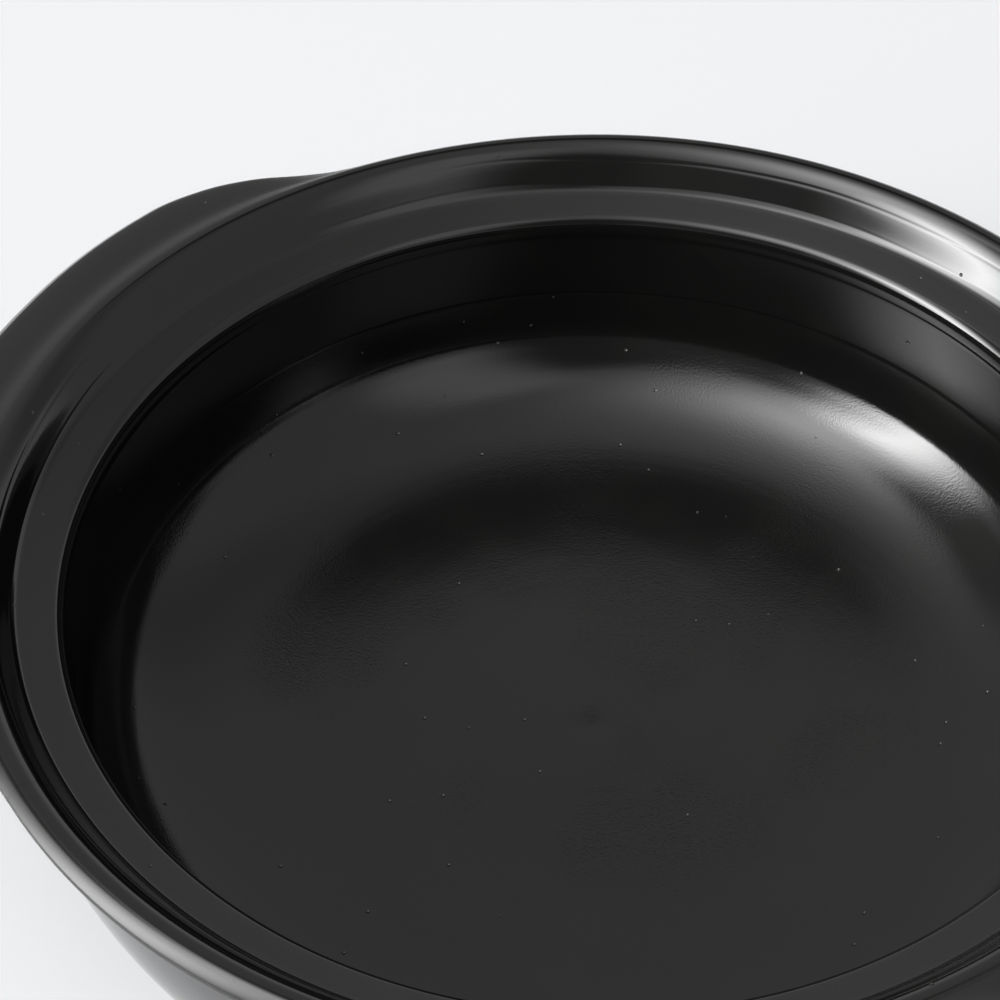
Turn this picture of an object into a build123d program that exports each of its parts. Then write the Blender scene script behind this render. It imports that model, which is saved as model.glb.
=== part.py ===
from build123d import *
import os

# Donabe clay pot without its lid: jiggered body, two wing-like lugs and a turned foot ring.
# Millimetres. The origin is the middle of the foot's flat underside, +Z is up,
# and the two lugs lie along +X and -X.

# Bowl
mouth_radius = 100.0  # inner edge of the ledge
bowl_depth = 51.3  # from the mouth's height down to the middle of the floor
floor_thickness = 8.7
dish_radius = 60.0  # gently dished middle of the floor
dish_rise = 2.3
dish_slope = 7.4  # degrees, at the dish's edge
bend_inset = 3.3  # where the corner turns quicker into the wall: inside the wall's radius
bend_drop = 33.1  # and below the mouth's height
bend_slope = 54.3  # degrees
wall_setback = 0.4  # the straight wall stands this far outside the ledge's edge
wall_drop = 19.2  # from the mouth's height to where the straight wall ends
corner_flare = 0.6  # the curved corner leaves the straight wall with this slight break

# Ledge that carries a lid, and the lip around it
nose_height = 3.0  # rounded edge between the wall and the ledge: below the mouth's height
nose_rise = 2.3  # and above it
nose_width = 1.8
nose_lean = 0.8
ledge_width = 6.0  # along its slope
ledge_slope = 20.0  # degrees, down towards the bowl
seat_width = 8.7  # from the ledge's end out to the crest of the lip
lip_rise = 13.4  # crest above the mouth's height
lip_roll = 2.6  # from the crest out to the lip's outer face
lip_roll_drop = 1.8
lip_band = 1.0  # straight part of the lip's outer face
lip_overhang = 4.5
lip_under_round = 0.7

# Outside of the body and its foot
wall_lean = 1.7  # how far the outer wall starts to lean in below the lip
belly_bulge = 11.9  # fullness of the outer wall beyond the mouth
foot_radius = 68.0
foot_width = 9.0
foot_height = 6.0
foot_edge_round = 1.8
shoulder_width = 2.5  # flat of the body's underside outside the foot

# Lugs
lug_reach = 14.8  # beyond the lip's outer face
lug_drop = 1.4  # top of a lug below the crest
lug_thickness = 11.5  # at the tip
lug_root_drop = 9.0  # how much lower the underside is at the wall than at the tip
lug_root_bury = 5.5  # depth of the unfinished section behind the lip's outer face
lug_half_angle = 51.0  # degrees from a lug's middle to where it has sunk into the lip

# Shares of each curve's own span, chosen by eye
dish_middle_share = 0.59
dish_edge_share = 0.22
corner_floor_share = 0.76
corner_bend_share = 0.16
bend_share = 0.26
bend_wall_share = 0.72
nose_wall_share = 0.8
nose_ledge_share = 1.0
seat_foot_share = 0.24
seat_crest_share = 0.54
roll_crest_share = 0.38
roll_band_share = 0.12
wall_top_share = 0.377
wall_base_share = 0.112
knee_share = 0.3
tip_round_share = 0.55
underside_tip_share = 0.35
underside_wall_share = 0.3
end_thickness_share = 0.6
# Along a lug, from its middle to its end: the angle, and how far the tip stands out there
lug_angle_shares = (0.0, 0.2, 0.4, 0.55, 0.65, 0.74, 0.84, 0.92, 1.0)
lug_reach_shares = (1.0, 1.01, 1.05, 1.06, 0.99, 0.8, 0.45, 0.2, 0.0)

# Heights above the foot's underside
base_z = foot_height
floor_z = base_z + floor_thickness
mouth_z = floor_z + bowl_depth
crest_z = mouth_z + lip_rise

# The ledge, and the radii outside it
ledge_direction = Vector(1, 0).rotate(Axis.Z, ledge_slope)
ledge_start = Vector(mouth_radius + nose_width, mouth_z + nose_rise)
ledge_end = ledge_start + ledge_direction * ledge_width
wall_radius = mouth_radius + wall_setback
crest_radius = ledge_end.X + seat_width
lip_radius = crest_radius + lip_roll
outer_wall_radius = lip_radius - lip_overhang
base_radius = foot_radius + shoulder_width

# Points of the body's section, as (radius, height), from the middle of the floor outwards
floor_middle = Vector(0, floor_z)
dish_edge = Vector(dish_radius, floor_z + dish_rise)
dish_direction = Vector(1, 0).rotate(Axis.Z, dish_slope)
bend = Vector(wall_radius - bend_inset, mouth_z - bend_drop)
bend_direction = Vector(1, 0).rotate(Axis.Z, bend_slope)
corner_top = Vector(wall_radius, mouth_z - wall_drop)
corner_width = bend.X - dish_edge.X
bend_height = corner_top.Y - bend.Y
wall_top = Vector(wall_radius, mouth_z - nose_height)
crest = Vector(crest_radius, crest_z)
band_top = Vector(lip_radius, crest_z - lip_roll_drop)
band_bottom = band_top - Vector(0, lip_band)
under_lip = Vector(outer_wall_radius, band_bottom.Y - lip_under_round)
body_height = under_lip.Y - base_z
base_edge = Vector(base_radius, base_z)

# The section lies along +Y, between the lugs, so that no seam runs under them.
with BuildPart() as pot_body:
    with BuildSketch(Plane.YZ):
        with BuildLine():
            Bezier(
                floor_middle,
                floor_middle + Vector(dish_radius * dish_middle_share, 0),
                dish_edge - dish_direction * (dish_radius * dish_edge_share),
                dish_edge,
            )
            Bezier(
                dish_edge,
                dish_edge + dish_direction * (corner_width * corner_floor_share),
                bend - bend_direction * (corner_width * corner_bend_share),
                bend,
            )
            Bezier(
                bend,
                bend + bend_direction * (bend_height * bend_share),
                corner_top - Vector(corner_flare, bend_height * bend_wall_share),
                corner_top,
            )
            Line(corner_top, wall_top)
            Bezier(
                wall_top,
                wall_top + Vector(-nose_lean, nose_height * nose_wall_share),
                ledge_start - ledge_direction * (nose_width * nose_ledge_share),
                ledge_start,
            )
            Line(ledge_start, ledge_end)
            Bezier(
                ledge_end,
                ledge_end + ledge_direction * (seat_width * seat_foot_share),
                crest - Vector(seat_width * seat_crest_share, 0),
                crest,
            )
            Bezier(
                crest,
                crest + Vector(lip_roll * roll_crest_share, 0),
                band_top + Vector(0, lip_roll_drop * roll_band_share),
                band_top,
            )
            Line(band_top, band_bottom)
            Bezier(
                band_bottom,
                band_bottom - Vector(0, lip_under_round),
                under_lip + Vector(lip_overhang / 2, 0),
                under_lip,
            )
            Bezier(
                under_lip,
                under_lip - Vector(wall_lean, body_height * wall_top_share),
                (mouth_radius + belly_bulge, base_z + body_height * wall_base_share),
                base_edge,
            )
            Line(base_edge, (0, base_z))
            Line((0, base_z), floor_middle)
        make_face()
    revolve(axis=Axis.Z)
pot_body.part.label = "pot_body"

with BuildPart() as foot_ring:
    with BuildSketch(Plane.XY):
        Circle(foot_radius)
        Circle(foot_radius - foot_width, mode=Mode.SUBTRACT)
    extrude(amount=foot_height)
    fillet(foot_ring.faces().sort_by(Axis.Z)[0].edges(), radius=foot_edge_round)
foot_ring.part.label = "foot_ring"


def lug_section(share):
    """Closed outline of a lug in the plane of one radius, at a share of its full reach."""
    root = lip_radius - lug_root_bury
    tip = outer_wall_radius + (lip_radius + lug_reach - outer_wall_radius) * share
    thickness = lug_thickness * (end_thickness_share + (1 - end_thickness_share) * share)
    root_drop = lug_root_drop * (end_thickness_share + (1 - end_thickness_share) * share)
    top = crest_z - lug_drop
    middle = top - thickness / 2
    bottom = top - thickness
    tip_round = thickness / 2
    tip_pull = tip_round * tip_round_share
    shelf = tip - min(tip_round, (tip - root) / 2)
    span = shelf - root
    knee = root + (outer_wall_radius - root) * knee_share
    Line((root, top - lug_root_bury), (knee, top))
    Line((knee, top), (shelf, top))
    Bezier((shelf, top), (shelf + tip_pull, top), (tip, middle + tip_pull), (tip, middle))
    Bezier((tip, middle), (tip, middle - tip_pull), (shelf + tip_pull, bottom), (shelf, bottom))
    Bezier(
        (shelf, bottom),
        (shelf - span * underside_tip_share, bottom),
        (root + span * underside_wall_share, bottom - root_drop),
        (root, bottom - root_drop),
    )
    Line((root, bottom - root_drop), (root, top - lug_root_bury))


lug_stations = [(-a, r) for a, r in zip(lug_angle_shares[:0:-1], lug_reach_shares[:0:-1])]
lug_stations += list(zip(lug_angle_shares, lug_reach_shares))

with BuildPart() as handle_right:
    for angle_share, reach_share in lug_stations:
        with BuildSketch(Plane.XZ.rotated((0, 0, lug_half_angle * angle_share))):
            with BuildLine():
                lug_section(reach_share)
            make_face()
    loft()
    add(pot_body.part, mode=Mode.SUBTRACT)
handle_right.part.label = "handle_right"

with BuildPart() as handle_left:
    mirror(handle_right.part, about=Plane.YZ)
handle_left.part.label = "handle_left"

os.makedirs("parts", exist_ok=True)
export_step(pot_body.part, "parts/pot_body.step")
export_step(foot_ring.part, "parts/foot_ring.step")
export_step(handle_right.part, "parts/handle_right.step")
export_step(handle_left.part, "parts/handle_left.step")
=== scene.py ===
import math
from collections import namedtuple

import bmesh
import bpy
import numpy as np
from mathutils import Matrix, Vector


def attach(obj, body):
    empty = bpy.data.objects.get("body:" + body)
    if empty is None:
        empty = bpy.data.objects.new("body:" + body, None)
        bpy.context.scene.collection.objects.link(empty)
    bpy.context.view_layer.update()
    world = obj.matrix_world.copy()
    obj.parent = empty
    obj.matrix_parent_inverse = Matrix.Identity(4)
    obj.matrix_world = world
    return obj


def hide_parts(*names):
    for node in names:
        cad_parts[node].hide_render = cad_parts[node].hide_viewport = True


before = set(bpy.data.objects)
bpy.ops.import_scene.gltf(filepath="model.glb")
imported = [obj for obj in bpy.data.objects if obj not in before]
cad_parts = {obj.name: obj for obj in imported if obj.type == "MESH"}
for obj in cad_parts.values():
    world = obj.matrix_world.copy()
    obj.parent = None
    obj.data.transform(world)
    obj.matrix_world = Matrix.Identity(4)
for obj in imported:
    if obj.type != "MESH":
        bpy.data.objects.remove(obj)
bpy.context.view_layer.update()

# Donabe clay pot without its lid: glazed body, two wing-like lugs, bare clay foot. Metres.

# Bowl
MOUTH_RADIUS = 0.1000
FLOOR_HEIGHT = 0.0147
MOUTH_HEIGHT = 0.0660
DISH_RADIUS = 0.0600
DISH_RISE = 0.0023
DISH_SLOPE = math.radians(7.4)
DISH_MIDDLE = 0.0354
DISH_EDGE = 0.0132
CORNER_FLOOR = 0.0282
BEND_PLACE = (0.0971, 0.0329)
BEND_SLOPE = math.radians(54.3)
BEND_FLOOR = 0.0060
BEND_WALL = 0.0036
WALL_RADIUS = 0.1004
WALL_FOOT_HEIGHT = 0.0468
CORNER_FLARE = 0.0006
CORNER_WALL = 0.0100
DIMPLE_RADIUS = 0.0030
DIMPLE_DEPTH = 0.00010
DIMPLE_RINGS = (0.0005, 0.0011, 0.0018, 0.0026, 0.0035, 0.0045, 0.0056)
DIMPLE_END = 0.0066
CREASE_WIDTH = 0.00028
CREASE_DEPTH = 0.00010
CREASE_INNER_RADIUS = 0.0904

# Ledge, seat and lip
NOSE_HEIGHT = 0.0030
NOSE_RISE = 0.0023
NOSE_WIDTH = 0.0018
NOSE_LEAN = 0.0008
NOSE_WALL_SHARE = 0.8
LEDGE_WIDTH = 0.0060
LEDGE_SLOPE = math.radians(20.0)
SEAT_FOOT = 0.0021
SEAT_CREST = 0.0047
CREST_RADIUS = 0.1161
CREST_HEIGHT = 0.07930
LIP_RADIUS = 0.1187
LIP_ROLL_DROP = 0.0018
ROLL_CREST = 0.0010
ROLL_BAND = 0.0002
LIP_BAND = 0.0010
UNDER_ROUND = 0.0007
OUTER_RADIUS = 0.1142

# Outer wall, underside and foot
WALL_LEAN = 0.0017
BELLY_RADIUS = 0.1119
WALL_TOP_SHARE = 0.377
WALL_BASE_SHARE = 0.112
BASE_RADIUS = 0.0705
BASE_HEIGHT = 0.0060
BASE_ROUND = 0.0006
ROUND_START_SHARE = 0.6
ROUND_MIDDLE_SHARES = (0.35, 0.12)
UNDERSIDE_MIDDLE = 0.0015
FOOT_RADIUS = 0.0680
FOOT_WIDTH = 0.0090
FOOT_ROUND = 0.0018
FOOT_SIDE_PULL_SHARE = 0.55
FOOT_FACE_PULL_SHARE = 0.45
FOOT_TAPER = 0.0004
FOOT_BURY = 0.0004
GLAZE_LINE = 0.0102
GLAZE_THICKNESS = 0.00018
GLAZE_EDGE = 0.0006
GLAZE_EDGE_SHARE = 0.35
GLAZE_ZONE = 0.003

# Waves round the pot, each with its size, its count in one turn and its start in radians
GLAZE_LINE_WAVES = ((0.0007, 3, 0.4), (0.0004, 7, 1.3), (0.00022, 17, 2.2), (0.00012, 31, 0.0))
OUT_OF_ROUND_WAVES = ((0.00005, 2, 0.7), (0.00003, 3, 2.1))
OUT_OF_LEVEL_WAVES = ((0.00004, 2, 1.9), (0.00002, 5, 0.3))

# How far the rim has drawn in and sunk, and where it is a little flat
DRAWN_IN = 0.00008
SUNK = 0.00006
FLAT_DEPTH = 0.0004
FLAT_MIDDLE = math.radians(122.0)
FLAT_WIDTH = math.radians(26.0)

# Lugs: how far each place along one reaches out, then its section at full reach
LUG_HALF_ANGLE = math.radians(51.0)
LUG_ANGLE_SHARES = (0.0, 0.2, 0.4, 0.55, 0.65, 0.74, 0.84, 0.90, 0.95, 1.0)
LUG_REACH_SHARES = (1.0, 1.030, 1.095, 1.110, 0.970, 0.690, 0.240, 0.070, 0.012, 0.0)
SLOPE_POINT = (0.1196, 0.07832)
SLOPE_ANGLE = math.radians(-20.0)
VALLEY = (0.1219, 0.07788)
CROWN = (0.1262, 0.07800)
SHOULDER_SHARE = 0.62
SHOULDER_DROP = 0.0008
TIP = (0.1335, 0.0722)
TIP_BOTTOM = (0.1277, 0.0665)
LUG_ROOT_HEIGHT = 0.0540
LUG_PROUD = 0.00002
LUG_TUCK = 0.0010
LUG_END_TURN = 1e-5
SEAM_SHARE = 0.42

# How far each point of that section pulls the curve before and after it
CREST_PULL = 0.0013
SLOPE_PULL_BEFORE = 0.0012
SLOPE_PULL_AFTER = 0.0009
VALLEY_PULL_BEFORE = 0.0010
VALLEY_PULL_AFTER = 0.0014
CROWN_PULL = 0.0014
CROWN_END_SHARE = 0.34
SHOULDER_PULL_SHARE = 0.55
SHOULDER_PULL_DROP = 0.0001
SHOULDER_PULL_AFTER = (0.0014, -0.0008)
TIP_PULL_ABOVE = 0.0026
TIP_PULL_BELOW = 0.0030
BOTTOM_PULL_BEFORE = 0.0030
BOTTOM_PULL_AFTER = 0.0052
ROOT_PULL = 0.0062

# How strongly the surfaces mirror
GLAZE_INDEX = 1.68
CLAY_INDEX = 1.5

# Density of the meshes: columns round the pot, and points along each stretch of a section
AROUND = 576
FOOT_COLUMNS = 360
LUG_COLUMNS = 300
DISH_POINTS = 60
CORNER_POINTS = 60
BEND_POINTS = 44
CREASE_POINTS = 6
WALL_POINTS = 30
WALL_GATHER = 1.7
NOSE_POINTS = 22
LEDGE_POINTS = 5
SEAT_POINTS = 30
ROLL_POINTS = 16
BAND_POINTS = 5
UNDER_LIP_POINTS = 9
OUTER_WALL_POINTS = 110
GLAZE_ZONE_POINTS = 44
UNDERSIDE_POINTS = 14
FOOT_POINTS = 8
FOOT_TOP_POINTS = 6
LUG_SEAT_POINTS = 60
LUG_TOP_POINTS = 44
LUG_NOSE_POINTS = 36
LUG_BELOW_POINTS = 50
LUG_ROUND_POINTS = 16
LUG_WALL_POINTS = 160
LUG_SLOPE_POINTS = 24
LUG_CROWN_POINTS = 12
LUG_SHOULDER_POINTS = 8
LUG_UNDERSIDE_POINTS = 90
LUG_CLOSING_POINTS = 5

# Places where the glaze changes: each pair is where a change starts and where it is complete
BOWL_HEIGHTS = (0.064, 0.050)
BOWL_RADII = (0.1025, 0.1005)
LEDGE_HEIGHTS = (0.0645, 0.0665)
LEDGE_INNER_RADII = (0.1012, 0.1020)
LEDGE_OUTER_RADII = (0.1078, 0.1073)
LIP_EDGE_HEIGHTS = (0.0745, 0.0758)
LIP_EDGE_INNER_RADII = (0.1163, 0.1172)
LIP_EDGE_OUTER_RADII = (0.1250, 0.1212)
SEAT_LINE_HEIGHTS = (0.0700, 0.0706)
GLAZE_EDGE_HEIGHTS = (-0.00006, 0.00006)

# Fine lines round the seat: radius, and depth as a share of the deepest
SEAT_LINES = ((0.1087, 0.7), (0.1115, 1.0))
SEAT_LINE_WANDER = 0.0018

# Camera, floor and lamp
CAMERA_PLACE = Vector((0.07442, -0.27775, 0.36872))
CAMERA_AIM = Vector((-0.02144, 0.0088, 0.066))
CAMERA_ROLL = math.radians(-1.5748)
CAMERA_LENS = 79.2
SENSOR = 36.0
FLOOR_HALF = 6.0
PALE = (0.860, 0.868, 0.885, 1.0)
FLOOR_COLOR = (0.806, 0.814, 0.829, 1.0)
FLOOR_ROUGHNESS = 0.9
LAMP_PLACE = Vector((-0.45, -0.55, 0.45))
LAMP_AIM = Vector((-0.09, -0.16, 0.0))
LAMP_SIZE = 0.5
LAMP_POWER = 1.2


def point(r, z):
    """One point of a section, as radius and height."""
    return np.array((r, z), float)


def curve(a, b, c, d, steps):
    """Points along a curved stretch of a section from a to d, with a left out."""
    t = np.linspace(0.0, 1.0, steps + 1)[1:, None]
    return (1 - t) ** 3 * a + 3 * (1 - t) ** 2 * t * b + 3 * (1 - t) * t ** 2 * c + t ** 3 * d


def straight(a, b, steps, gather=1.0):
    """Points along a straight stretch from a to b, with a left out, gathered near a if asked."""
    t = (np.linspace(0.0, 1.0, steps + 1)[1:, None]) ** gather
    return a + (b - a) * t


def smooth_step(x, low, high):
    """0 below low, 1 above high and a soft change between them."""
    t = np.clip((x - low) / (high - low), 0.0, 1.0)
    return t * t * (3 - 2 * t)


ledge_way = point(math.cos(LEDGE_SLOPE), math.sin(LEDGE_SLOPE))
ledge_start = point(MOUTH_RADIUS + NOSE_WIDTH, MOUTH_HEIGHT + NOSE_RISE)
ledge_end = ledge_start + ledge_way * LEDGE_WIDTH
crest = point(CREST_RADIUS, CREST_HEIGHT)
band_top = point(LIP_RADIUS, CREST_HEIGHT - LIP_ROLL_DROP)
band_bottom = band_top - point(0, LIP_BAND)
under_lip = point(OUTER_RADIUS, band_bottom[1] - UNDER_ROUND)
base_edge = point(BASE_RADIUS, BASE_HEIGHT)


def seat_curve(steps):
    """From the ledge's end up to the crest."""
    return curve(
        ledge_end, ledge_end + ledge_way * SEAT_FOOT, crest - point(SEAT_CREST, 0), crest, steps
    )


def roll_curve(steps):
    """From the crest out to the lip's outer face."""
    return curve(
        crest, crest + point(ROLL_CREST, 0), band_top + point(0, ROLL_BAND), band_top, steps
    )


def under_lip_curve(steps):
    """From the lip's outer face in under it to the outer wall."""
    reach = (LIP_RADIUS - OUTER_RADIUS) / 2
    way_down = band_bottom - point(0, UNDER_ROUND)
    return curve(band_bottom, way_down, under_lip + point(reach, 0), under_lip, steps)


def outer_wall_curve(steps):
    """From under the lip over the belly to the body's underside."""
    height = under_lip[1] - BASE_HEIGHT
    way_down = under_lip - point(WALL_LEAN, height * WALL_TOP_SHARE)
    belly = point(BELLY_RADIUS, BASE_HEIGHT + height * WALL_BASE_SHARE)
    return curve(under_lip, way_down, belly, base_edge, steps)


def dish_section():
    """The dished floor, from just beside its middle to its edge, with a small dimple in the middle."""
    middle = point(0, FLOOR_HEIGHT)
    edge = point(DISH_RADIUS, FLOOR_HEIGHT + DISH_RISE)
    way = point(math.cos(DISH_SLOPE), math.sin(DISH_SLOPE))
    dish = curve(middle, middle + point(DISH_MIDDLE, 0), edge - way * DISH_EDGE, edge, DISH_POINTS)
    near = np.array(DIMPLE_RINGS)
    near = np.stack((near, np.interp(near, dish[:, 0], dish[:, 1])), 1)
    dish = np.concatenate((near, dish[dish[:, 0] > DIMPLE_END]))
    dish[:, 1] -= DIMPLE_DEPTH * np.exp(-((dish[:, 0] / DIMPLE_RADIUS) ** 2))
    return dish


def corner_section():
    """The corner from the dish's edge to the foot of the straight wall, in two bends."""
    start = point(DISH_RADIUS, FLOOR_HEIGHT + DISH_RISE)
    bend = point(*BEND_PLACE)
    end = point(WALL_RADIUS, WALL_FOOT_HEIGHT)
    start_way = point(math.cos(DISH_SLOPE), math.sin(DISH_SLOPE))
    bend_way = point(math.cos(BEND_SLOPE), math.sin(BEND_SLOPE))
    way_up = end - point(CORNER_FLARE, CORNER_WALL)
    low = curve(start, start + start_way * CORNER_FLOOR, bend - bend_way * BEND_FLOOR, bend, CORNER_POINTS)
    high = curve(bend, bend + bend_way * BEND_WALL, way_up, end, BEND_POINTS)
    near_top = curve(high[-2], high[-2], end, end, CREASE_POINTS)[:-1]
    return np.concatenate((low, high[:-1], near_top, high[-1:]))


def wall_and_ledge_section():
    """The straight wall, the rounded nose over it and the ledge."""
    wall_foot = point(WALL_RADIUS, WALL_FOOT_HEIGHT)
    wall_top = point(WALL_RADIUS, MOUTH_HEIGHT - NOSE_HEIGHT)
    wall_way = wall_top + point(-NOSE_LEAN, NOSE_HEIGHT * NOSE_WALL_SHARE)
    wall = straight(wall_foot, wall_top, WALL_POINTS, gather=WALL_GATHER)
    nose = curve(wall_top, wall_way, ledge_start - ledge_way * NOSE_WIDTH, ledge_start, NOSE_POINTS)
    return np.concatenate((wall, nose, straight(ledge_start, ledge_end, LEDGE_POINTS)))


def outside_section():
    """The outer wall from under the lip, finer near the glaze's edge, and the underside to its middle."""
    wall = outer_wall_curve(OUTER_WALL_POINTS)
    height = GLAZE_LINE + GLAZE_ZONE
    upper, lower = wall[wall[:, 1] > height], wall[wall[:, 1] <= height]
    fine = np.linspace(0, len(lower) - 1, GLAZE_ZONE_POINTS)
    whole = np.arange(len(lower))
    lower = np.stack([np.interp(fine, whole, lower[:, k]) for k in (0, 1)], 1)
    lower[-1] = base_edge + point(0, BASE_ROUND * ROUND_START_SHARE)
    across, up = ROUND_MIDDLE_SHARES
    under = np.array(
        [(BASE_RADIUS - BASE_ROUND * across, BASE_HEIGHT + BASE_ROUND * up)]
        + [(BASE_RADIUS - BASE_ROUND, BASE_HEIGHT)]
        + [(r, BASE_HEIGHT) for r in np.linspace(FOOT_RADIUS, UNDERSIDE_MIDDLE, UNDERSIDE_POINTS)]
    )
    return np.concatenate((upper, lower, under))


def body_section():
    """The body's outline from just beside the floor's middle, over the lip and down to the underside."""
    inner = np.concatenate((dish_section(), corner_section(), wall_and_ledge_section()))
    crease = CREASE_DEPTH * np.exp(-(((inner[:, 1] - WALL_FOOT_HEIGHT) / CREASE_WIDTH) ** 2))
    inner[:, 0] += crease * (inner[:, 0] > CREASE_INNER_RADIUS)
    seat = seat_curve(SEAT_POINTS)
    roll = roll_curve(ROLL_POINTS)
    band = straight(band_top, band_bottom, BAND_POINTS)
    below = under_lip_curve(UNDER_LIP_POINTS)
    return np.concatenate((inner, seat, roll, band, below, outside_section()))


def waves(turn, rows):
    """The sum of some waves at an angle round the pot."""
    return sum(size * np.sin(count * turn + start) for size, count, start in rows)


def settle(x, y, z):
    """The slight unevenness that throwing, drying and firing leave in the whole pot."""
    turn = np.arctan2(y, x)
    r = np.hypot(x, y)
    share = np.clip(z / CREST_HEIGHT, 0.0, 1.0) ** 2
    flat = FLAT_DEPTH * np.exp(-(((turn - FLAT_MIDDLE) / FLAT_WIDTH) ** 2))
    out = (waves(turn, OUT_OF_ROUND_WAVES) - DRAWN_IN - flat) * share
    lift = (waves(turn, OUT_OF_LEVEL_WAVES) - SUNK) * share
    scale = 1.0 + out * np.clip(r / MOUTH_RADIUS, 0.0, 1.0) / r
    return x * scale, y * scale, z + lift


def glaze_edge_height(turn):
    """Height of the glaze's lower edge round the body, wavy as dipping leaves it."""
    return GLAZE_LINE + waves(turn, GLAZE_LINE_WAVES)


def add_mesh(name, points, faces):
    """A smooth shaded piece from its points and faces."""
    mesh = bpy.data.meshes.new(name)
    mesh.from_pydata(points.tolist(), [], faces)
    mesh.update(calc_edges=True)
    mesh.shade_smooth()
    piece = bpy.data.objects.new(name, mesh)
    bpy.context.scene.collection.objects.link(piece)
    return piece


def ring_faces(rings, columns, back=False):
    """Faces between rings of points one after another, and from the last back to the first if asked."""
    faces = []
    for i in range(rings if back else rings - 1):
        a, b = i * columns, (i + 1) % rings * columns
        for k in range(columns):
            k2 = (k + 1) % columns
            faces.append((a + k, a + k2, b + k2, b + k))
    return faces


def turned_body():
    """The glazed body as one closed skin, turned round +Z."""
    section = body_section()
    rings = len(section)
    turn = np.linspace(0.0, 2 * math.pi, AROUND, endpoint=False)
    r = section[:, 0][:, None] * np.ones(AROUND)
    z = section[:, 1][:, None] * np.ones(AROUND)
    along = np.gradient(section, axis=0)
    along /= np.linalg.norm(along, axis=1)[:, None]
    outside = np.arange(rings) > np.argmax(section[:, 0])
    edge = glaze_edge_height(turn)[None]
    glazed = smooth_step(z, edge, edge + GLAZE_EDGE)
    step = GLAZE_THICKNESS * (glazed - 1.0) * outside[:, None] * (z < 2 * GLAZE_LINE)
    r = r - along[:, 1][:, None] * step
    z = z + along[:, 0][:, None] * step
    points = np.stack(settle(r * np.cos(turn), r * np.sin(turn), z), 2).reshape(-1, 3)
    middle = np.array(((0, 0, FLOOR_HEIGHT - DIMPLE_DEPTH), (0, 0, BASE_HEIGHT)))
    faces = ring_faces(rings, AROUND)
    floor_middle, under_middle, last = rings * AROUND, rings * AROUND + 1, (rings - 1) * AROUND
    for k in range(AROUND):
        k2 = (k + 1) % AROUND
        faces.append((floor_middle, k2, k))
        faces.append((under_middle, last + k, last + k2))
    return add_mesh("glazed_body", np.concatenate((points, middle)), faces)


def turned_foot():
    """The bare foot ring as a closed turned band, its contact edge softly worn."""
    top = BASE_HEIGHT + FOOT_BURY
    outer, inner = FOOT_RADIUS - FOOT_TAPER, FOOT_RADIUS - FOOT_WIDTH + FOOT_TAPER
    outer_top, inner_top = point(FOOT_RADIUS, top), point(FOOT_RADIUS - FOOT_WIDTH, top)
    outer_side, outer_face = point(outer, FOOT_ROUND), point(outer - FOOT_ROUND, 0)
    inner_side, inner_face = point(inner, FOOT_ROUND), point(inner + FOOT_ROUND, 0)
    down = point(0, -FOOT_ROUND * FOOT_SIDE_PULL_SHARE)
    out = point(FOOT_ROUND * FOOT_FACE_PULL_SHARE, 0)
    section = np.concatenate(
        (
            outer_top[None],
            straight(outer_top, outer_side, FOOT_POINTS),
            curve(outer_side, outer_side + down, outer_face + out, outer_face, FOOT_POINTS),
            straight(outer_face, inner_face, FOOT_POINTS),
            curve(inner_face, inner_face - out, inner_side + down, inner_side, FOOT_POINTS),
            straight(inner_side, inner_top, FOOT_POINTS),
            straight(inner_top, outer_top, FOOT_TOP_POINTS)[:-1],
        )
    )
    turn = np.linspace(0.0, 2 * math.pi, FOOT_COLUMNS, endpoint=False)
    r, z = section[:, 0][:, None], section[:, 1][:, None]
    points = np.stack((r * np.cos(turn), r * np.sin(turn), z * np.ones(FOOT_COLUMNS)), 2).reshape(-1, 3)
    return add_mesh("clay_foot", points, ring_faces(len(section), FOOT_COLUMNS, back=True))


def lug_reach(turn):
    """How far a lug stands out at an angle from its middle, as a share of its full reach."""
    shares = np.array(LUG_ANGLE_SHARES)
    reach = np.array(LUG_REACH_SHARES)
    x = np.clip(np.abs(turn) / LUG_HALF_ANGLE, 0.0, 1.0)
    gaps = np.diff(shares)
    rise = np.diff(reach) / gaps
    slope = np.zeros(len(shares))
    for i in range(1, len(shares) - 1):
        if rise[i - 1] * rise[i] > 0:
            a, b = 2 * gaps[i] + gaps[i - 1], gaps[i] + 2 * gaps[i - 1]
            slope[i] = (a + b) / (a / rise[i - 1] + b / rise[i])
    k = np.clip(np.searchsorted(shares, x, side="right") - 1, 0, len(gaps) - 1)
    h = gaps[k]
    t = (x - shares[k]) / h
    return (
        (1 + 2 * t) * (1 - t) ** 2 * reach[k]
        + t * (1 - t) ** 2 * h * slope[k]
        + t * t * (3 - 2 * t) * reach[k + 1]
        + t * t * (t - 1) * h * slope[k + 1]
    )


def evenly(path, count):
    """The same path at evenly spaced points."""
    run = np.concatenate(((0.0,), np.cumsum(np.linalg.norm(np.diff(path, axis=0), axis=1))))
    even = np.linspace(0.0, run[-1], count)
    return np.stack([np.interp(even, run, path[:, k]) for k in (0, 1)], 1)


def lip_path():
    """The plain lip from the seat over the crest and down the outer wall, in four stretches."""
    seat = seat_curve(LUG_SEAT_POINTS)
    seat = seat[int(LUG_SEAT_POINTS * SEAM_SHARE):]
    wall = outer_wall_curve(LUG_WALL_POINTS)
    wall = wall[wall[:, 1] > LUG_ROOT_HEIGHT]
    below = np.concatenate((under_lip_curve(LUG_ROUND_POINTS), wall))
    band = straight(band_top, band_bottom, LUG_NOSE_POINTS)
    return seat, roll_curve(LUG_TOP_POINTS), band, evenly(below, LUG_BELOW_POINTS)


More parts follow.
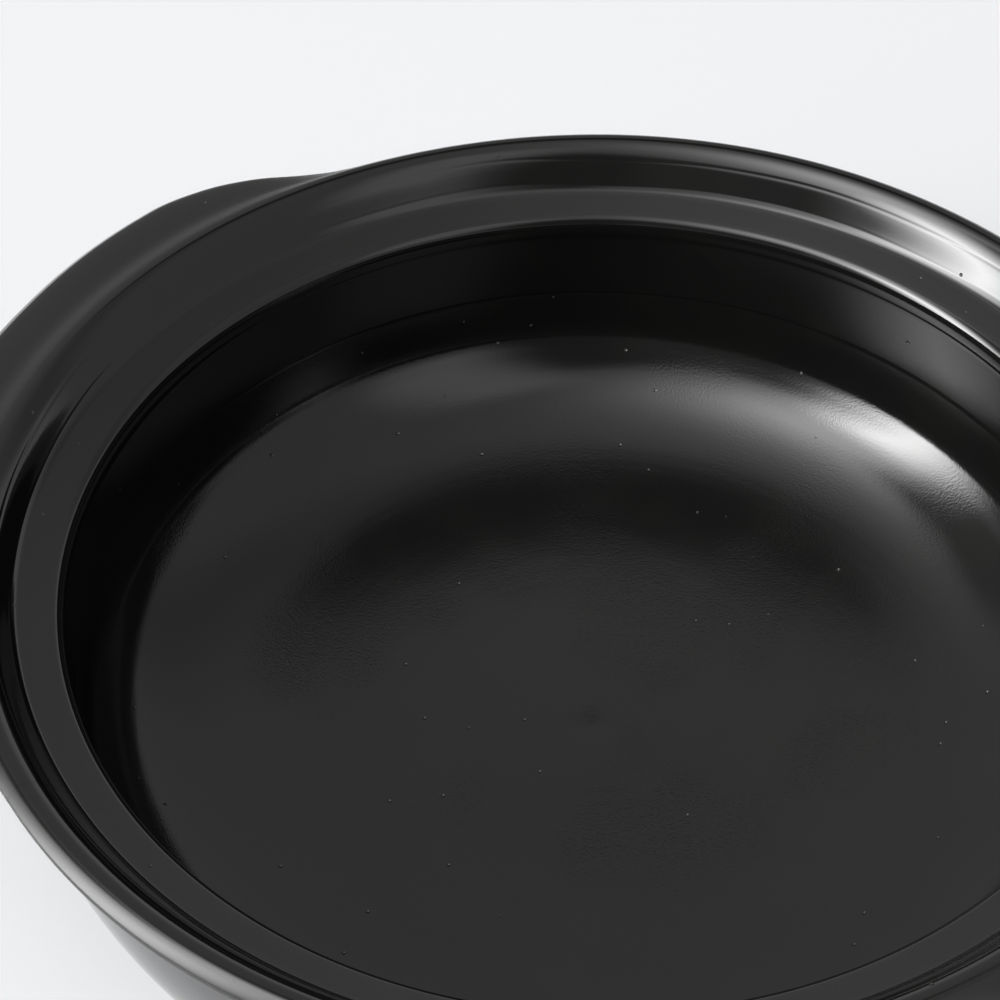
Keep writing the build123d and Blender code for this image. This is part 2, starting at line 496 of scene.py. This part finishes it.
def wing_top():
    """A lug's top at full reach: down from the crest, over a shallow valley and a crown to its shoulder."""
    slope_point, valley, crown = point(*SLOPE_POINT), point(*VALLEY), point(*CROWN)
    fall = point(math.cos(SLOPE_ANGLE), math.sin(SLOPE_ANGLE))
    overhang = TIP[0] - crown[0]
    shoulder = crown + point(overhang * SHOULDER_SHARE, -SHOULDER_DROP)
    slope_way = slope_point - fall * SLOPE_PULL_BEFORE
    valley_way = valley - point(VALLEY_PULL_BEFORE, 0)
    crown_way = crown - point(CROWN_PULL, 0)
    crown_end_way = crown + point(overhang * CROWN_END_SHARE, 0)
    shoulder_way = crown + point(overhang * SHOULDER_PULL_SHARE, -SHOULDER_PULL_DROP)
    return np.concatenate(
        (
            crest[None],
            curve(crest, crest + point(CREST_PULL, 0), slope_way, slope_point, LUG_SLOPE_POINTS),
            curve(slope_point, slope_point + fall * SLOPE_PULL_AFTER, valley_way, valley, LUG_ROUND_POINTS),
            curve(valley, valley + point(VALLEY_PULL_AFTER, 0), crown_way, crown, LUG_CROWN_POINTS),
            curve(crown, crown_end_way, shoulder_way, shoulder, LUG_SHOULDER_POINTS),
        )
    )


def wing_path(wall_end, wall_way):
    """A lug's outline at full reach, in stretches that match the lip's."""
    top = wing_top()
    shoulder, tip, bottom = top[-1], point(*TIP), point(*TIP_BOTTOM)
    tip_way = tip + point(0, TIP_PULL_ABOVE)
    bottom_way = bottom + point(BOTTOM_PULL_BEFORE, 0)
    nose = np.concatenate(
        (
            shoulder[None],
            curve(shoulder, shoulder + point(*SHOULDER_PULL_AFTER), tip_way, tip, LUG_SLOPE_POINTS),
            curve(tip, tip - point(0, TIP_PULL_BELOW), bottom_way, bottom, LUG_SLOPE_POINTS),
        )
    )
    root_way = wall_end - wall_way * ROOT_PULL
    under = curve(bottom, bottom - point(BOTTOM_PULL_AFTER, 0), root_way, wall_end, LUG_UNDERSIDE_POINTS)
    under = np.concatenate((bottom[None], under))
    top, nose = evenly(top, LUG_TOP_POINTS + 1)[1:], evenly(nose, LUG_NOSE_POINTS + 1)[1:]
    return top, nose, evenly(under, LUG_BELOW_POINTS)


def lug(name, side):
    """One lug as a closed shell: the lip's own outline drawn out into a wing, faded in at both ends."""
    seat, roll, band, below = lip_path()
    wall_way = below[-1] - below[-2]
    wall_way /= np.linalg.norm(wall_way)
    top, nose, under = wing_path(below[-1], wall_way)
    lip = np.concatenate((seat, roll, band, below))
    wing = np.concatenate((seat, top, nose, under))
    turns = np.linspace(-LUG_HALF_ANGLE, LUG_HALF_ANGLE, LUG_COLUMNS)
    columns = []
    for i, turn in enumerate(turns):
        path = lip + (wing - lip) * float(lug_reach(turn))
        way = np.gradient(path, axis=0)
        way /= np.linalg.norm(way, axis=1)[:, None]
        out = np.stack((-way[:, 1], way[:, 0]), 1)
        tucked = i in (0, len(turns) - 1)
        skin = path + out * (-LUG_TUCK if tucked else LUG_PROUD)
        first, last = path[0] - out[0] * LUG_TUCK, path[-1] - out[-1] * LUG_TUCK
        back = straight(last, first, LUG_CLOSING_POINTS + 1)[:-1]
        columns.append(np.concatenate((first[None], skin, last[None], back)))
    turns[0], turns[-1] = turns[1] - LUG_END_TURN, turns[-2] + LUG_END_TURN
    section = np.array(columns)
    rings, count = section.shape[:2]
    angle = turns[:, None] + (0.0 if side > 0 else math.pi)
    r, z = section[:, :, 0], section[:, :, 1]
    points = np.stack(settle(r * np.cos(angle), r * np.sin(angle), z), 2).reshape(-1, 3)
    faces = ring_faces(rings, count)
    faces.append(tuple(range(count)))
    faces.append(tuple((rings - 1) * count + k for k in reversed(range(count))))
    piece = add_mesh(name, points, faces)
    crisp_seam(piece, rings, count, len(lip))
    return piece


def crisp_seam(piece, rings, count, skin_points):
    """Sharp shading where a lug's skin turns in under the body's, along its seat, its root and its ends."""
    seam = np.zeros((rings, count), bool)
    seam[1:-1, 1] = seam[1:-1, skin_points] = True
    seam[1, 1:skin_points + 1] = seam[-2, 1:skin_points + 1] = True
    mesh = piece.data
    ends = np.zeros(len(mesh.edges) * 2, np.int32)
    mesh.edges.foreach_get("vertices", ends)
    both = seam.reshape(-1)[ends.reshape(-1, 2)].all(axis=1)
    mesh.attributes.new("sharp_edge", "BOOLEAN", "EDGE").data.foreach_set("value", both)


def outward(piece):
    """Every face of a closed piece turned to face out."""
    mesh = bmesh.new()
    mesh.from_mesh(piece.data)
    bmesh.ops.recalc_face_normals(mesh, faces=mesh.faces)
    mesh.to_mesh(piece.data)
    mesh.free()


class Nodes:
    """Short ways to place and join nodes in one node tree."""

    def __init__(self, tree):
        self.tree = tree

    def add(self, kind, inputs=None, **settings):
        """A new node with its settings, and with values or links for its inputs."""
        node = self.tree.nodes.new(kind)
        for name, value in settings.items():
            setattr(node, name, value)
        for name, value in (inputs or {}).items():
            self.join(value, node.inputs[name])
        return node

    def join(self, value, socket):
        """Links a socket to an input, or writes a plain value into it."""
        if isinstance(value, bpy.types.NodeSocket):
            self.tree.links.new(value, socket)
        else:
            socket.default_value = value

    def math(self, operation, a, b=None, c=None):
        """The result of one sum."""
        node = self.add("ShaderNodeMath", operation=operation)
        for socket, value in zip(node.inputs, (a, b, c)):
            if value is not None:
                self.join(value, socket)
        return node.outputs[0]

    def step(self, value, low, high, start=0.0, end=1.0):
        """Start where the value is at low, end where it is at high, and a soft change between them."""
        node = self.add(
            "ShaderNodeMapRange",
            {"Value": value, "From Min": low, "From Max": high, "To Min": start, "To Max": end},
            interpolation_type="SMOOTHSTEP",
        )
        return node.outputs["Result"]

    def noise(self, where, scale, detail=2.0, roughness=0.5):
        """Cloudy noise from 0 to 1, with about as many clouds in a metre as its scale."""
        node = self.add(
            "ShaderNodeTexNoise",
            {"Vector": where, "Scale": scale, "Detail": detail, "Roughness": roughness},
        )
        return node.outputs["Fac"]

    def mix(self, share, a, b):
        """From colour a to colour b."""
        node = self.add("ShaderNodeMix", data_type="RGBA")
        self.join(share, node.inputs[0])
        self.join(a, node.inputs[6])
        self.join(b, node.inputs[7])
        return node.outputs[2]

    def between(self, share, a, b):
        """From number a to number b."""
        node = self.add("ShaderNodeMix", data_type="FLOAT")
        self.join(share, node.inputs[0])
        self.join(a, node.inputs[2])
        self.join(b, node.inputs[3])
        return node.outputs[0]

    def parts(self, where):
        """A place's X, Y and Z."""
        return self.add("ShaderNodeSeparateXYZ", {"Vector": where}).outputs

    def radius(self, part):
        """How far a place is from the pot's upright axis."""
        across = self.math("POWER", part["X"], 2.0)
        along = self.math("POWER", part["Y"], 2.0)
        return self.math("SQRT", self.math("ADD", across, along))

    def group(self, name, where, **inputs):
        """One of the shared groups, placed in this tree, with its outputs."""
        node = self.add("ShaderNodeGroup", node_tree=groups[name])
        self.join(where, node.inputs["Position"])
        for socket_name, value in inputs.items():
            self.join(value, node.inputs[socket_name.replace("_", " ")])
        return node.outputs


def new_group(name, inputs, outputs):
    """A shader node group with named sockets, and its start and end nodes."""
    tree = bpy.data.node_groups.new(name, "ShaderNodeTree")
    for socket_name, kind, value in inputs:
        socket = tree.interface.new_socket(socket_name, in_out="INPUT", socket_type=kind)
        if value is not None:
            socket.default_value = value
    for socket_name, kind in outputs:
        tree.interface.new_socket(socket_name, in_out="OUTPUT", socket_type=kind)
    n = Nodes(tree)
    return n, n.add("NodeGroupInput").outputs, n.add("NodeGroupOutput").inputs


FLOAT, COLOR, VECTOR = "NodeSocketFloat", "NodeSocketColor", "NodeSocketVector"


def ripple_group():
    """Fine ripple of a fired glaze, in metres of height."""
    n, given, result = new_group(
        "glaze_ripple",
        [("Position", VECTOR, None), ("Fine Height", FLOAT, 1e-6), ("Broad Height", FLOAT, 1e-5)],
        [("Height", FLOAT)],
    )
    fine = n.noise(given["Position"], scale=2300.0, detail=1.0, roughness=0.6)
    broad = n.noise(given["Position"], scale=110.0, detail=2.0, roughness=0.45)
    height = n.math("MULTIPLY", fine, given["Fine Height"])
    n.join(n.math("MULTIPLY_ADD", broad, given["Broad Height"], height), result["Height"])
    return n.tree


def pinhole_group():
    """Scattered pinholes where gas broke through the glaze: a mask, and a depth in metres."""
    n, given, result = new_group(
        "glaze_pinholes",
        [
            ("Position", VECTOR, None),
            ("Spread", FLOAT, 130.0),
            ("Size", FLOAT, 0.060),
            ("Depth", FLOAT, 1.5e-4),
        ],
        [("Mask", FLOAT), ("Height", FLOAT)],
    )
    cell = n.add("ShaderNodeTexVoronoi", {"Vector": given["Position"], "Scale": given["Spread"]})
    near = n.math("DIVIDE", cell.outputs["Distance"], given["Size"])
    mask = n.step(near, 1.0, 0.25)
    n.join(mask, result["Mask"])
    n.join(n.math("MULTIPLY", n.math("MULTIPLY", mask, given["Depth"]), -1.0), result["Height"])
    return n.tree


def turning_ring_group():
    """Faint rings left by the turning tool, not quite round, in metres of height."""
    n, given, result = new_group(
        "turning_rings",
        [
            ("Position", VECTOR, None),
            ("Pitch", FLOAT, 0.0035),
            ("Wander", FLOAT, 0.004),
            ("Height Share", FLOAT, 1.15),
            ("Ring Height", FLOAT, 1e-5),
        ],
        [("Height", FLOAT)],
    )
    part = n.parts(given["Position"])
    run = n.math("ADD", n.radius(part), n.math("MULTIPLY", part["Z"], given["Height Share"]))
    wander = n.noise(given["Position"], scale=14.0, detail=1.0)
    run = n.math("ADD", run, n.math("MULTIPLY", wander, given["Wander"]))
    along = n.add("ShaderNodeCombineXYZ", {"X": n.math("DIVIDE", run, given["Pitch"])}).outputs[0]
    ring = n.noise(along, scale=1.0, detail=2.0, roughness=0.6)
    n.join(n.math("MULTIPLY", ring, given["Ring Height"]), result["Height"])
    return n.tree


def seat_line_group():
    """Two fine lines that a finger or tool leaves round the seat, not quite round, in metres of height."""
    n, given, result = new_group(
        "seat_lines",
        [("Position", VECTOR, None), ("Line Width", FLOAT, 0.00022), ("Line Depth", FLOAT, 4e-5)],
        [("Height", FLOAT)],
    )
    part = n.parts(given["Position"])
    wander = n.noise(given["Position"], scale=16.0, detail=1.0)
    inward = n.math("SUBTRACT", n.radius(part), SEAT_LINE_WANDER / 2)
    radius = n.math("MULTIPLY_ADD", wander, SEAT_LINE_WANDER, inward)
    height = 0.0
    for place, share in SEAT_LINES:
        away = n.math("DIVIDE", n.math("SUBTRACT", radius, place), given["Line Width"])
        line = n.math("EXPONENT", n.math("MULTIPLY", n.math("MULTIPLY", away, away), -1.0))
        height = n.math("MULTIPLY_ADD", line, -share, height)
    height = n.math("MULTIPLY", height, n.step(part["Z"], *SEAT_LINE_HEIGHTS))
    n.join(n.math("MULTIPLY", height, given["Line Depth"]), result["Height"])
    return n.tree


def clay_group():
    """Bare fired clay: colour with iron specks, roughness, and grain height in metres."""
    n, given, result = new_group(
        "bare_clay",
        [
            ("Position", VECTOR, None),
            ("Pale", COLOR, (0.42, 0.33, 0.25, 1)),
            ("Dark", COLOR, (0.27, 0.20, 0.145, 1)),
            ("Speck", COLOR, (0.07, 0.045, 0.03, 1)),
            ("Speck Strength", FLOAT, 0.75),
            ("Grain Height", FLOAT, 6e-5),
        ],
        [("Color", COLOR), ("Roughness", FLOAT), ("Height", FLOAT)],
    )
    cloud = n.noise(given["Position"], scale=45.0, detail=4.0, roughness=0.6)
    grain = n.noise(given["Position"], scale=1300.0, detail=3.0, roughness=0.65)
    color = n.mix(n.step(cloud, 0.35, 0.68), given["Pale"], given["Dark"])
    speck = n.add("ShaderNodeTexVoronoi", {"Vector": given["Position"], "Scale": 420.0})
    dots = n.step(speck.outputs["Distance"], 0.30, 0.16)
    color = n.mix(n.math("MULTIPLY", dots, given["Speck Strength"]), color, given["Speck"])
    shade = n.step(grain, 0.3, 0.7, start=0.86, end=1.08)
    tint = n.add("ShaderNodeVectorMath", operation="SCALE")
    n.join(color, tint.inputs[0])
    n.join(shade, tint.inputs["Scale"])
    n.join(tint.outputs[0], result["Color"])
    n.join(n.step(grain, 0.2, 0.8, start=0.72, end=0.92), result["Roughness"])
    n.join(n.math("MULTIPLY", grain, given["Grain Height"]), result["Height"])
    return n.tree


def glaze_masks(n, part):
    """Where a place is in the bowl, on the ledge and on the lip's outer edge, from 0 to 1."""
    radius = n.radius(part)
    in_bowl = n.math("MULTIPLY", n.step(part["Z"], *BOWL_HEIGHTS), n.step(radius, *BOWL_RADII))
    on_ledge = n.math("MULTIPLY", n.step(radius, *LEDGE_INNER_RADII), n.step(radius, *LEDGE_OUTER_RADII))
    on_ledge = n.math("MULTIPLY", on_ledge, n.step(part["Z"], *LEDGE_HEIGHTS))
    on_edge = n.math("MULTIPLY", n.step(radius, *LIP_EDGE_INNER_RADII), n.step(radius, *LIP_EDGE_OUTER_RADII))
    on_edge = n.math("MULTIPLY", on_edge, n.step(part["Z"], *LIP_EDGE_HEIGHTS))
    return in_bowl, on_ledge, on_edge


def black_glaze_group():
    """Black iron glaze: colour, roughness and surface height, smoother on the lip than in the bowl."""
    n, given, result = new_group(
        "black_glaze",
        [
            ("Position", VECTOR, None),
            ("Black", COLOR, (0.0050, 0.0051, 0.0049, 1)),
            ("Thin", COLOR, (0.0062, 0.0061, 0.0056, 1)),
            ("Bubble", COLOR, (0.060, 0.058, 0.052, 1)),
            ("Bubble Strength", FLOAT, 0.7),
            ("Lip Roughness", FLOAT, 0.085),
            ("Bowl Roughness", FLOAT, 0.12),
            ("Ledge Roughness", FLOAT, 0.30),
            ("Edge Roughness", FLOAT, 0.36),
            ("Bowl Grain", FLOAT, 1.7e-5),
            ("Lip Grain", FLOAT, 1.5e-6),
            ("Swell", FLOAT, 1.6e-5),
            ("Ring Height", FLOAT, 1.2e-5),
        ],
        [("Color", COLOR), ("Roughness", FLOAT), ("Height", FLOAT)],
    )
    where = given["Position"]
    in_bowl, on_ledge, on_edge = glaze_masks(n, n.parts(where))
    patchy = n.step(n.noise(where, scale=38.0, detail=1.0), 0.42, 0.68, start=0.6, end=1.9)
    grain = n.math("MULTIPLY_ADD", in_bowl, given["Bowl Grain"], given["Lip Grain"])
    grain = n.math("MULTIPLY", grain, patchy)
    ripple = n.group("ripple", where, Fine_Height=grain, Broad_Height=given["Swell"])
    holes = n.group("pinholes", where)
    rings = n.group("rings", where, Ring_Height=given["Ring Height"])
    lines = n.group("seat_lines", where)
    height = n.math("ADD", ripple["Height"], holes["Height"])
    height = n.math("ADD", height, lines["Height"])
    n.join(n.math("ADD", height, rings["Height"]), result["Height"])
    cloud = n.noise(where, scale=60.0, detail=3.0)
    color = n.mix(n.step(cloud, 0.4, 0.75), given["Black"], given["Thin"])
    bubble = n.math("MULTIPLY", holes["Mask"], given["Bubble Strength"])
    n.join(n.mix(bubble, color, given["Bubble"]), result["Color"])
    rough = n.between(in_bowl, given["Lip Roughness"], given["Bowl Roughness"])
    rough = n.math("MULTIPLY", rough, n.step(cloud, 0.3, 0.7, start=0.94, end=1.08))
    rough = n.between(on_ledge, rough, given["Ledge Roughness"])
    n.join(n.between(on_edge, rough, given["Edge Roughness"]), result["Roughness"])
    return n.tree


def new_material(name):
    """A material, its nodes, its shader and the place on the pot that each point has."""
    material = bpy.data.materials.new(name)
    material.use_nodes = True
    n = Nodes(material.node_tree)
    surface = material.node_tree.nodes["Principled BSDF"]
    where = n.add("ShaderNodeTexCoord").outputs["Object"]
    return material, n, surface, where


def finish(n, surface, color, roughness, height, index):
    """Joins a finish to the material's shader."""
    n.join(color, surface.inputs["Base Color"])
    n.join(roughness, surface.inputs["Roughness"])
    surface.inputs["IOR"].default_value = index
    bump = n.add("ShaderNodeBump", {"Height": height, "Strength": 1.0, "Distance": 1.0})
    n.join(bump.outputs["Normal"], surface.inputs["Normal"])


def glazed_material():
    """Black glaze down to its lower edge, bare clay under it."""
    material, n, surface, where = new_material("black_glaze_on_clay")
    glaze, clay = n.group("glaze", where), n.group("clay", where)
    part = n.parts(where)
    turn = n.math("ARCTAN2", part["Y"], part["X"])
    edge = GLAZE_LINE + GLAZE_EDGE * GLAZE_EDGE_SHARE
    for size, count, start in GLAZE_LINE_WAVES:
        wave = n.math("SINE", n.math("MULTIPLY_ADD", turn, float(count), start))
        edge = n.math("MULTIPLY_ADD", wave, size, edge)
    glazed = n.step(n.math("SUBTRACT", part["Z"], edge), *GLAZE_EDGE_HEIGHTS)
    color = n.mix(glazed, clay["Color"], glaze["Color"])
    roughness = n.between(glazed, clay["Roughness"], glaze["Roughness"])
    height = n.between(glazed, clay["Height"], glaze["Height"])
    finish(n, surface, color, roughness, height, GLAZE_INDEX)
    return material


def plain_material(name, group, index):
    """One finish all over a piece."""
    material, n, surface, where = new_material(name)
    skin = n.group(group, where)
    finish(n, surface, skin["Color"], skin["Roughness"], skin["Height"], index)
    return material


def dress(piece, material, slot, *nodes):
    """Gives a piece its finish and its place in the frame."""
    piece.data.materials.clear()
    piece.data.materials.append(material)
    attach(piece, "root")
    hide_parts(*nodes)


# Soft room round the pot, as the glaze mirrors it. Each patch of light or shade has its direction in
# degrees (turn round +Z and height), the tangents of its half width and half height, its soft edge,
# its roll in degrees and its level. Later patches cover earlier ones. A patch shows on its own side of
# the room only, from PATCH_FRONT on.
Patch = namedtuple("Patch", "turn height half_width half_height softness roll level")
ROOM_SCALE = 0.84
ROOM_LEVEL = 0.43
PATCH_FRONT = 0.05
GLOW_TURN, GLOW_HEIGHT, GLOW_LEVEL, GLOW_TIGHTNESS = 218, 52, 5.3, 14
LOW_BACK = Patch(80, 6, 0.90, 0.16, 0.16, 0, 0.68)
BACK_SIDE = Patch(54.5, 41.5, 0.17, 0.55, 0.17, -24, 0.30)
WINDOW = Patch(211, 15.5, 0.12, 0.51, 0.25, -17.5, 20)
BRIGHT_SIDE = Patch(320, 44.5, 0.20, 0.41, 0.14, 12, 0.98)
WINDOW_NOTCH = Patch(176.5, 37.5, 0.27, 0.34, 0.13, 9, 0.25)
NEAR_SIDE = Patch(287.5, 24, 0.27, 0.37, 0.12, 27, 0.09)
NEAR_LOW = Patch(259, 20, 0.32, 0.24, 0.12, 4, 0.16)
ABOVE_SOFT = Patch(109, 66, 0.18, 0.11, 0.13, -8, 0.035)
ABOVE = Patch(103, 60.5, 0.15, 0.09, 0.04, 8, 0.05)
ROOM = (LOW_BACK, BACK_SIDE, WINDOW, BRIGHT_SIDE, WINDOW_NOTCH, NEAR_SIDE, NEAR_LOW, ABOVE_SOFT, ABOVE)


def toward(angle, height):
    """A direction from its angle round +Z and its height above the horizon, in degrees."""
    a, h = math.radians(angle), math.radians(height)
    return Vector((math.cos(h) * math.cos(a), math.cos(h) * math.sin(a), math.sin(h)))


def room_light():
    """Soft world: an even room, darker above and behind the camera, with one bright window."""
    world = bpy.data.worlds.new("soft_room")
    bpy.context.scene.world = world
    world.use_nodes = True
    n = Nodes(world.node_tree)
    background = world.node_tree.nodes["Background"]
    way = n.add("ShaderNodeTexCoord").outputs["Generated"]

    def lean(direction):
        """How much a ray's way leans towards a direction, 1 where it is the same."""
        node = n.add("ShaderNodeVectorMath", operation="DOT_PRODUCT")
        n.join(way, node.inputs[0])
        node.inputs[1].default_value = direction
        return node.outputs["Value"]

    glow_lean = lean(toward(GLOW_TURN, GLOW_HEIGHT))
    lobe = n.math("EXPONENT", n.math("MULTIPLY_ADD", glow_lean, GLOW_TIGHTNESS, -GLOW_TIGHTNESS))
    level = n.math("MULTIPLY_ADD", lobe, GLOW_LEVEL, ROOM_LEVEL)
    for patch in ROOM:
        a, t = math.radians(patch.turn), math.radians(patch.roll)
        facing = toward(patch.turn, patch.height)
        side = Vector((-math.sin(a), math.cos(a), 0.0))
        up = facing.cross(side)
        side, up = side * math.cos(t) + up * math.sin(t), up * math.cos(t) - side * math.sin(t)
        depth = lean(facing)
        across = n.math("ABSOLUTE", n.math("DIVIDE", lean(side), depth))
        along = n.math("ABSOLUTE", n.math("DIVIDE", lean(up), depth))
        mask = n.math(
            "MULTIPLY",
            n.step(across, patch.half_width + patch.softness, patch.half_width - patch.softness),
            n.step(along, patch.half_height + patch.softness, patch.half_height - patch.softness),
        )
        mask = n.math("MULTIPLY", mask, n.step(depth, 0.0, PATCH_FRONT))
        kept = n.math("MULTIPLY", level, n.math("SUBTRACT", 1.0, mask))
        level = n.math("MULTIPLY_ADD", mask, patch.level, kept)
    level = n.math("MULTIPLY", level, ROOM_SCALE)
    seen = n.add("ShaderNodeLightPath").outputs["Is Camera Ray"]
    n.join(n.mix(seen, level, PALE), background.inputs["Color"])
    background.inputs["Strength"].default_value = 1.0


def fill_lamp():
    """A broad lamp at the near left that lifts the floor beside the pot and keeps out of the glaze."""
    lamp = bpy.data.lights.new("fill", "AREA")
    lamp.shape = "DISK"
    lamp.size = LAMP_SIZE
    lamp.energy = LAMP_POWER
    piece = bpy.data.objects.new("fill", lamp)
    bpy.context.scene.collection.objects.link(piece)
    piece.location = LAMP_PLACE
    piece.rotation_euler = (LAMP_PLACE - LAMP_AIM).to_track_quat("Z", "Y").to_euler()
    piece.visible_glossy = False
    piece.visible_camera = False


def pale_floor():
    """The pale matt surface that the pot stands on."""
    mesh = bpy.data.meshes.new("floor")
    h = FLOOR_HALF
    mesh.from_pydata([(-h, -h, 0), (h, -h, 0), (h, h, 0), (-h, h, 0)], [], [(0, 1, 2, 3)])
    floor = bpy.data.objects.new("floor", mesh)
    bpy.context.scene.collection.objects.link(floor)
    material = bpy.data.materials.new("pale_floor")
    material.use_nodes = True
    surface = material.node_tree.nodes["Principled BSDF"]
    surface.inputs["Base Color"].default_value = FLOOR_COLOR
    surface.inputs["Roughness"].default_value = FLOOR_ROUGHNESS
    surface.inputs["Specular IOR Level"].default_value = 0.0
    mesh.materials.append(material)


def photo_camera():
    """The camera's place and lens, fitted to the ledge's and the lip's outlines."""
    data = bpy.data.cameras.new("camera")
    data.sensor_width = SENSOR
    data.lens = CAMERA_LENS
    camera = bpy.data.objects.new("camera", data)
    bpy.context.scene.collection.objects.link(camera)
    facing = (CAMERA_AIM - CAMERA_PLACE).to_track_quat("-Z", "Y").to_matrix().to_4x4()
    camera.matrix_world = Matrix.Translation(CAMERA_PLACE) @ facing @ Matrix.Rotation(CAMERA_ROLL, 4, "Z")
    bpy.context.scene.camera = camera


# Shader groups that the finishes share: the glaze's own group is made after those that it holds.
groups = {
    "ripple": ripple_group(),
    "pinholes": pinhole_group(),
    "rings": turning_ring_group(),
    "seat_lines": seat_line_group(),
    "clay": clay_group(),
}
groups["glaze"] = black_glaze_group()

body = turned_body()
foot = turned_foot()
lug_right = lug("lug_right", 1)
lug_left = lug("lug_left", -1)
for piece in (body, foot, lug_right, lug_left):
    outward(piece)

dress(body, glazed_material(), "black_glaze", "pot_body")
lug_finish = plain_material("black_glaze", "glaze", GLAZE_INDEX)
dress(lug_right, lug_finish, "lug_glaze", "handle_right")
dress(lug_left, lug_finish, "lug_glaze", "handle_left")
dress(foot, plain_material("bare_clay", "clay", CLAY_INDEX), "bare_clay", "foot_ring")

room_light()
fill_lamp()
pale_floor()
photo_camera()
bpy.context.scene.view_settings.view_transform = "Standard"
